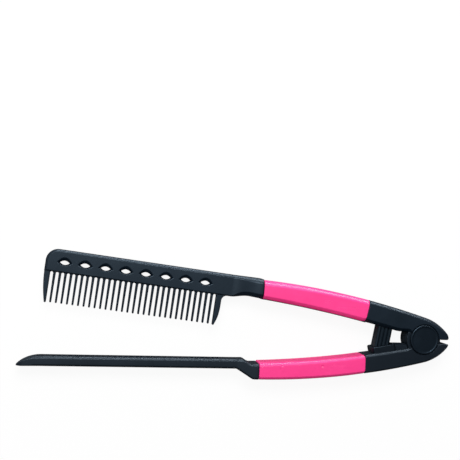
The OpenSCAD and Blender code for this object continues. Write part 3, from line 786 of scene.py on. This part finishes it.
# Comb arm's grip: its outline runs from one lip of the rib's slot round to the other,
# then back along the inside
def buildCombGrip():
    d = grips["comb"]
    x, outer, inner, slotLow, slotHigh = gripRings(d, combUnder, combTop)
    s, e, f = d["slotHalf"], d["lip"], 0.02
    # sections start at the upper front corner; rolled, they start beside the slot below
    turn = -2 * (tool["cornerSteps"] + 1)
    outer, inner = np.roll(outer, turn, 1), np.roll(inner, turn, 1)

    def edge(y, z):
        return pointsOf(x, y, z)[:, None, :]

    out = np.concatenate([edge(slotLow + e, -s), edge(slotLow, -s - e), outer,
                          edge(slotLow, s + e), edge(slotLow + e, s)], 1)
    back = np.concatenate([edge(slotHigh - f, -s), edge(slotHigh, -s - f), inner,
                           edge(slotHigh, s + f), edge(slotHigh - f, s)], 1)
    rows, columns = out.shape[:2]
    faces = gridFaces(rows, 2 * columns)
    k = np.arange(columns - 1)
    for row in (0, rows - 1):
        at = row * 2 * columns
        end = at + 2 * columns - 1 - k
        faces += pointsOf(at + k, at + k + 1, end - 1, end).tolist()
    ring = np.concatenate([out, back[:, ::-1]], 1)
    piece = makeMesh("combGrip", bowJoints(ring, "combFar", "combNear"), faces)
    place(piece, "comb_side", "pinkPlastic", ["comb_grip"], onComb=True)


# Press arm's grip: a closed sleeve
def buildPressGrip():
    _, outer, inner, *_ = gripRings(grips["press"], pressUnder, pressTop)
    piece = pipe("pressGrip", bowJoints(outer, "pressNear"), bowJoints(inner, "pressNear"))
    cutOrJoin(piece, cut=[dimpleCutter(*at) for at in dimples["places"]])
    place(piece, "press_side", "pinkPlastic", ["press_grip"])


# Small round marks of the moulding pins on the press grip
dimples = {"places": ((-82.3, -15.8), (-59.5, -15.8)), "radius": 0.9, "deep": 0.28}


# Each is the end of a ball that just reaches its depth and radius
def dimpleCutter(x, y):
    r, deep = dimples["radius"], dimples["deep"]
    big = (r * r + deep * deep) / (2 * deep)
    v = np.radians(np.linspace(3, 40, 12))
    profile = pointsOf(big * np.sin(v), half - deep + big - big * np.cos(v))
    piece = revolve("dimple", profile, turns=32)
    piece.data.transform(Matrix.Translation((x, y, 0)))
    return piece


buildCombGrip()
buildPressGrip()


pressArm = {
    "drop": 12.95, "thick": 5.4, "plateHalf": 5.0, "plateBevel": 1.2, "nose": 10.4, "sledRadius": 20.0,
    "tip": 0.45, "planRadius": 4.0, "slotClear": 0.2, "slotOver": 1.5,
    "bevel": 1.1, "ramp": 13.0, "step": 0.5, "shoulderRound": 0.5,
    "gripFar": -95.2, "gripNear": -34.4,
    "tailBevel": 1.3, "tailBend": -12.0, "lipSpan": (-11.0, -7.0),
    "noseBevel": 0.9, "noseSpan": (6.0, 12.0), "noseEnd": 0.75, "noseShare": 0.7,
    "webTop": 3.0, "webHeight": 5.0, "webFar": -17.4, "webNear": -9.0, "webBevel": 0.6,
}
slotEnd = math.hypot(endOuter, combArm["rootHeight"]) + pressArm["slotClear"]
plateTip = -slotEnd - pressArm["nose"]
plateTop = -pressArm["drop"]
plateBottom = plateTop - pressArm["thick"]
rampStart = pressArm["gripFar"] - pressArm["ramp"]


# The plate's end: its top is an arc of the sled's radius, its plan a circle at each side
def plateRows():
    d = pressArm
    r = d["sledRadius"]
    length = math.sqrt(r * r - (r - d["thick"] + d["tip"]) ** 2)
    t = np.linspace(0, 1, 26) ** 1.5
    x = plateTip + length * t
    back = np.maximum(0, plateTip + d["planRadius"] - x)
    deep = d["plateHalf"] - d["planRadius"] + np.sqrt(np.maximum(d["planRadius"] ** 2 - back ** 2, 0))
    high = plateTop - r + np.sqrt(r * r - (length * (1 - t)) ** 2)
    corner = np.minimum(d["plateBevel"], d["tip"] / 3 + 1.2 * t)
    end = rowTable(x, plateBottom, high, deep, corner, corner)
    x = np.linspace(x[-1], rampStart, 16)[1:]
    flat = rowTable(x, plateBottom, plateTop, d["plateHalf"], d["plateBevel"], d["plateBevel"])
    return np.concatenate([end, flat])


# Three passes of a 1-2-1 average take the corners off a ramp
def relaxed(values):
    for _ in range(3):
        inner = (values[:-2] + 2 * values[1:-1] + values[2:]) / 4
        values = np.concatenate([values[:1], inner, values[-1:]])
    return values


# From the plate to the grip: the underside ramps down early, the top follows as an s-curve
def bendRows():
    d = pressArm
    x1 = d["gripFar"]
    t = np.linspace(0, 1, 31)[1:]
    x = mix(rampStart, x1 - d["shoulderRound"], t)
    low = mix(plateBottom, pressUnder(x1), relaxed(np.clip((t - 0.05) / 0.72, 0, 1)))
    high = mix(plateTop, pressTop(x1) - d["step"], ease((t - 0.3) / 0.4))
    corner = mix(d["plateBevel"], d["bevel"], t)
    rows = rowTable(x, low, high, mix(d["plateHalf"], armHalf, ease(t)), corner, corner)
    return roundEnd(rows, d["shoulderRound"], share=0.7)


def pressTailRows():
    d = pressArm
    x = tailPlaces(d, (16, 30, 8))
    inner = innerSide(x, pressTop, pressLip)
    upper = turnInto(d["tailBevel"], tool["lipBevel"], x, d["lipSpan"])
    lower = turnInto(d["bevel"], d["noseBevel"], x, d["noseSpan"])
    return roundTail(d, rowTable(x, pressUnder(x), inner, armHalf, upper, lower), pressUnder, 1)


# Slots are ring sectors about the pivot, so a turning tooth stays clear of their walls
def slotCutters():
    d, c = pressArm, combArm
    left = toothPlaces - c["rootWidth"] / 2
    near = -np.concatenate([left + c["rootWidth"], [endInner, heelOuter]])
    far = np.concatenate([left, [endOuter, heelInner]])
    inner, outer = near - d["slotClear"], np.hypot(far, c["rootHeight"]) + d["slotClear"]
    start = np.arcsin((d["drop"] - d["slotOver"]) / outer)[:, None]
    end = np.arcsin((d["drop"] + d["thick"] + d["slotOver"]) / inner)[:, None]
    a = mix(start, end, np.linspace(0, 1, 7)[None, :])[..., None]
    z = c["toothDepth"] / 2 + 2 * d["slotClear"]
    r = mix(inner[:, None, None], outer[:, None, None], np.repeat([0.0, 1.0], 7))
    deep = np.concatenate([np.linspace(-z, z, 7), np.linspace(z, -z, 7)])
    return rowOfSolids("slots", pointsOf(-r * np.cos(a), -r * np.sin(a), deep))


def pressWeb():
    d = pressArm
    x = np.linspace(d["webFar"], d["webNear"], 8)
    low, b = -d["webTop"] - d["webHeight"], d["webBevel"]
    rows = rowTable(x, low, -d["webTop"], guide["deep"] / 2, b, b)
    return loft("web", sections(rows))


def collarPocket():
    d = guide
    wide, deep = (size + d["wall"] + d["play"] for size in (boreWide, boreDeep))
    profile = softBox(d["reach"], wide, deep, d["collarCorner"])
    return loft("pocket", arcRings(profile, np.linspace(0, d["foot"] + 0.1, 25)))


def postWell():
    d = guide
    profile = softBox(d["reach"], boreWide, boreDeep, d["boreCorner"])
    return loft("well", arcRings(profile, np.linspace(0, d["well"], 37)))


def buildPressArm():
    core = coreRows(pressArm, pressUnder, pressTop)
    rows = np.concatenate([plateRows(), bendRows(), core, pressTailRows()])
    piece = loft("pressArm", bowJoints(sections(rows), "pressNear"))
    middle, (low, high) = hinge["middleLeaf"], hinge["outerLeaf"]
    cutOrJoin(piece, join=(pressWeb(), leaves((-middle, middle), (low, high), (-high, -low))),
              cut=(slotCutters(), pressHollow(), collarPocket(), postWell()))
    # the press arm's finish has painted light: a lighter copy of the black plastic
    place(piece, "press_side", "pressBlackPaintedLighter", ["press_arm"])


buildPressArm()


# Post outline: a soft box whose front and back faces dip by the raised cosine
# fluteDeep (1 + cos) / 2 at each flute
def postProfile():
    d = guide
    w, deep, b = postHalf, d["deep"] / 2, d["bevel"]
    c, s = softCorner(4, 1.6)
    r = np.linspace(w - b, b - w, 73)[1:-1]
    near = np.abs(r[:, None] - d["fluteStep"] * np.arange(-1, 2)[None, :]).min(1)
    dip = d["fluteDeep"] * 0.5 * (1 + np.cos(np.pi * np.clip(near / (d["fluteWidth"] * 0.6), 0, 1)))
    front = pointsOf(r, deep - dip)
    outer = pointsOf(w - b + b * c, deep - b + b * s)
    inner = pointsOf(-(w - b + b * s), deep - b + b * c)
    upper = np.concatenate([outer, front, inner])
    return np.concatenate([upper, -upper])


def buildPost():
    d = guide
    line = postProfile()
    angle = np.arctan2(line[:, 1], line[:, 0])
    bore = d["bore"] * pointsOf(np.cos(angle), np.sin(angle))
    angles = np.linspace(-d["seat"], d["drop"], 91)
    outer = postRings(line + (postMiddle, 0), angles)
    piece = pipe("guidePost", outer, arcRings(bore + (d["reach"], 0), angles))
    # the post's finish has painted shade: a darkened copy of the black plastic
    place(piece, "comb_side", "postPlasticPaintedShade", ["guide_post"], onComb=True, crease=50)


# Collar: its upper rim is rounded inside and out by a quarter circle
def buildCollar():
    d = guide
    e, v = d["rimRound"], quarter(5)
    start = d["rim"] + math.degrees(e / d["reach"])
    angles = np.concatenate([d["rim"] + (start - d["rim"]) * (1 - np.cos(v)),
                             np.linspace(start, d["foot"], 11)[1:]])
    inset = np.concatenate([e * (1 - np.sin(v)), np.zeros(10)])[:, None]
    wide, deep = boreWide + d["wall"] - inset, boreDeep + d["wall"] - inset
    outer = softBox(d["reach"], wide, deep, d["collarCorner"])
    inner = softBox(d["reach"], boreWide + inset * 0.6, boreDeep + inset * 0.6, d["boreCorner"])
    piece = pipe("guideCollar", arcRings(outer, angles), arcRings(inner, angles))
    # the collar's finish has painted shade: a darkened copy of the black plastic
    place(piece, "press_side", "collarPlasticPaintedShade", ["guide_collar"])


# Coil about the post's arc: the centre of the wire is at radius reach + coil cos q and
# height coil sin q, with q the turns, and the wire's round is set square to its path
def buildSpring():
    d = guide
    start, end = -d["seat"] - tool["openAngle"] + d["springEnd"], d["well"] - d["springEnd"]
    t = np.linspace(0, 1, d["turns"] * 30 + 1)

    def path(t, reach=d["reach"], coil=d["coil"]):
        a = np.radians(180 + mix(start, end, t))
        q = 2 * np.pi * d["turns"] * t
        r = reach + coil * np.cos(q)
        return pointsOf(r * np.cos(a), r * np.sin(a), coil * np.sin(q))

    along = path(t + 1e-4) - path(t - 1e-4)
    along /= np.linalg.norm(along, axis=1)[:, None]
    up = np.cross(along, path(t, reach=0, coil=1))
    up /= np.linalg.norm(up, axis=1)[:, None]
    out = np.cross(up, along)
    k = np.linspace(0, 2 * np.pi, 10, endpoint=False)[None, :, None]
    rings = path(t)[:, None, :] + d["wire"] * (np.cos(k) * out[:, None, :] + np.sin(k) * up[:, None, :])
    piece = loft("returnSpring", rings)
    place(piece, None, "springSteel", ["return_spring"], weighted=False)
    seat, foot = ([d["reach"] * 0.001 * f(math.radians(180 + angle)) for f in (math.cos, math.sin)]
                  for angle in (start, end))
    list(seat)
    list(foot)
    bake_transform(piece)


buildPost()
buildCollar()
buildSpring()


hubDisc = {
    "radius": 8.3, "seat": 5.7, "rimRound": 0.4, "bead": 0.55, "fallStart": 0.12, "fall": 0.45, "sink": 0.12,
    "crown": 0.06, "cup": 4.55, "cupTop": 6.3, "middle": 0.6,
}


# Profile of (radius, z): underside with its cup, rounded rim, a low bead along the rim,
# then a face that is sunk a little and rises again as a shallow dome
def hubProfile():
    d = hubDisc
    r, e, m = d["radius"], d["rimRound"], d["middle"]
    rim = arc(r - e, half - e, e, 0, np.pi / 2, 5)
    u = np.linspace(0, 1, 7)[1:]
    fall = pointsOf(r - e - d["bead"] + d["fallStart"] - d["fall"] * u, half - d["sink"] * ease(u))
    w = np.linspace(fall[-1, 0], m, 9)[1:]
    dome = pointsOf(w, half - d["sink"] + d["crown"] * (1 - (w / fall[-1, 0]) ** 2))
    cup = [(m, d["cupTop"]), (d["cup"], d["cupTop"]), (d["cup"], d["seat"]), (r, d["seat"])]
    return np.concatenate([cup, rim, fall, dome])


def buildHubDisc(name, nodeName, flipped=False):
    piece = revolve(name, hubProfile())
    if flipped:
        piece.data.transform(Matrix.Rotation(math.pi, 4, "X"))
    place(piece, "press_side", "discPlastic", [nodeName], crease=40)


buildHubDisc("frontDisc", "front_cap")
buildHubDisc("backDisc", "back_cap", flipped=True)

for name in ("pivot_barrel", "pivot_screw", "front_washer", "back_washer"):
    for spot in frame["nodes"][name].material_slots:
        spot.material = materials["springSteel"]
print("pieces placed")


studio = {
    "floorSize": 12.0, "floorWhite": 0.93, "floorShow": 0.93, "glossShow": 0.15, "bounceWhite": 0.75,
    "sweep": (-0.14, 0.03, 0.12, 0.25),   # along Y, towards the viewer the paper ends
    # the sky's strength: from, to, value there before, value there after
    "skyFront": (-0.40, 0.10, 0.05, 1.15), "skyRight": (0.50, -0.05, 0.11, 1.0),
    "skyBack": (0.75, 0.25, 0.75, 1.0), "skyLeft": (-0.58, -0.20, 0.45, 1.0),
    "skyGrey": (0.8, 0.8, 0.8, 1), "skyFill": 0.32, "horizon": (0.35, 0.05), "sheen": (0.0, 0.5, 0.0, 0.8),
    "lamps": (
        # name, place, aims at, width, height, watts
        ("bandLamp", (0.08, 0.62, 0.055), (0.0, 0.0, 0.012), 0.75, 0.09, 2.4),
        ("topLamp", (-0.20, 0.42, 0.62), (-0.11, 0.0, 0.0), 0.45, 0.30, 5.1),
    ),
}


# Ends a tree with two shaders mixed by a share
def mixShaders(tree, kind, share, first, second):
    both = node(tree, "ShaderNodeMixShader", share, first.outputs[0], second.outputs[0])
    node(tree, kind, Surface=both.outputs[0])


def mirrored(tree, ray):
    return maths(tree, "MAXIMUM", ray["Is Glossy Ray"], ray["Is Transmission Ray"])


# The camera sees white paper. Other rays find darker ground in front of the paper's edge, but
# soft light bounces off the whole floor, so the sides of the object aren't left dark.
def buildFloor():
    a = studio["floorSize"] / 2
    mesh = bpy.data.meshes.new("floor")
    mesh.from_pydata([(-a, -a, 0), (a, -a, 0), (a, a, 0), (-a, a, 0)], [], [(0, 1, 2, 3)])
    floor = newObject("floor", mesh)
    material, tree = newMaterial("paleFloor")
    ray = node(tree, "ShaderNodeLightPath").outputs
    ground = node(tree, "ShaderNodeTexCoord").outputs["Object"]
    fade = ramp(tree, node(tree, "ShaderNodeSeparateXYZ", ground).outputs["Y"], *studio["sweep"])
    bounce = maths(tree, "MULTIPLY_ADD", ray["Is Diffuse Ray"], studio["bounceWhite"], ray["Is Camera Ray"])
    paper = maths(tree, "MAXIMUM", fade, bounce)
    white = node(tree, "ShaderNodeVectorMath", (studio["floorWhite"],) * 3, operation="SCALE", Scale=paper)
    matt = node(tree, "ShaderNodeBsdfDiffuse", white.outputs[0])
    glow = node(tree, "ShaderNodeEmission", Strength=paper)
    shiny = maths(tree, "MULTIPLY", mirrored(tree, ray), studio["glossShow"])
    seen = maths(tree, "MAXIMUM", shiny, ray["Is Camera Ray"])
    share = maths(tree, "MULTIPLY", seen, studio["floorShow"])
    mixShaders(tree, "ShaderNodeOutputMaterial", share, matt, glow)
    mesh.materials.append(material)


# The sky is the product of its ramps, and reflections see a white backdrop low down on +Y
def buildSky():
    world = bpy.data.worlds.new("studio")
    bpy.context.scene.world = world
    world.use_nodes = True
    tree = world.node_tree
    tree.nodes.clear()
    ray = node(tree, "ShaderNodeLightPath").outputs
    toward = node(tree, "ShaderNodeTexCoord").outputs["Generated"]
    x, y, z = node(tree, "ShaderNodeSeparateXYZ", toward).outputs
    dome = ramp(tree, y, *studio["skyFront"])
    for name, axis in (("skyRight", x), ("skyBack", y), ("skyLeft", x)):
        dome = maths(tree, "MULTIPLY", dome, ramp(tree, axis, *studio[name]))
    fill = maths(tree, "MULTIPLY", ray["Is Diffuse Ray"], studio["skyFill"])
    soft = node(tree, "ShaderNodeBackground", studio["skyGrey"], maths(tree, "MAXIMUM", dome, fill))
    white = node(tree, "ShaderNodeBackground", (1, 1, 1, 1), 1.0)
    low = maths(tree, "MULTIPLY", mirrored(tree, ray), ramp(tree, z, *studio["horizon"], kind="LINEAR"))
    sheen = maths(tree, "MULTIPLY", low, ramp(tree, y, *studio["sheen"], kind="LINEAR"))
    seen = maths(tree, "MAXIMUM", ray["Is Camera Ray"], sheen)
    mixShaders(tree, "ShaderNodeOutputWorld", seen, soft, white)


def buildLamps():
    for name, at, target, wide, tall, watts in studio["lamps"]:
        light = bpy.data.lights.new(name, "AREA")
        light.shape = "RECTANGLE"
        light.size, light.size_y, light.energy = wide, tall, watts
        lamp = newObject(name, light)
        lamp.location = at
        lamp.rotation_euler = (Vector(target) - Vector(at)).to_track_quat("-Z", "Y").to_euler()


view = {
    "distance": 0.5, "lens": 70.04, "sensor": 36.0, "yaw": 8.77, "roll": 2.15,
    "looksAt": (-0.1135, 0.0585, 0.0075), "near": 0.01, "far": 50.0,
}


def buildCamera():
    yaw, roll = math.radians(view["yaw"]), math.radians(view["roll"])
    ahead = Vector((math.sin(yaw), 0, -math.cos(yaw)))
    level, up = Vector((math.cos(yaw), 0, math.sin(yaw))), Vector((0, 1, 0))
    right = level * math.cos(roll) + up * math.sin(roll)
    above = up * math.cos(roll) - level * math.sin(roll)
    data = bpy.data.cameras.new("camera")
    data.lens, data.sensor_width = view["lens"], view["sensor"]
    data.clip_start, data.clip_end = view["near"], view["far"]
    camera = newObject("camera", data)
    turn = Matrix((right, above, -ahead)).transposed().to_4x4()
    camera.matrix_world = Matrix.Translation(Vector(view["looksAt"]) - ahead * view["distance"]) @ turn
    bpy.context.scene.camera = camera


buildFloor()
buildSky()
buildLamps()
buildCamera()
bpy.context.scene.view_settings.view_transform = "Standard"

print("studio ready")
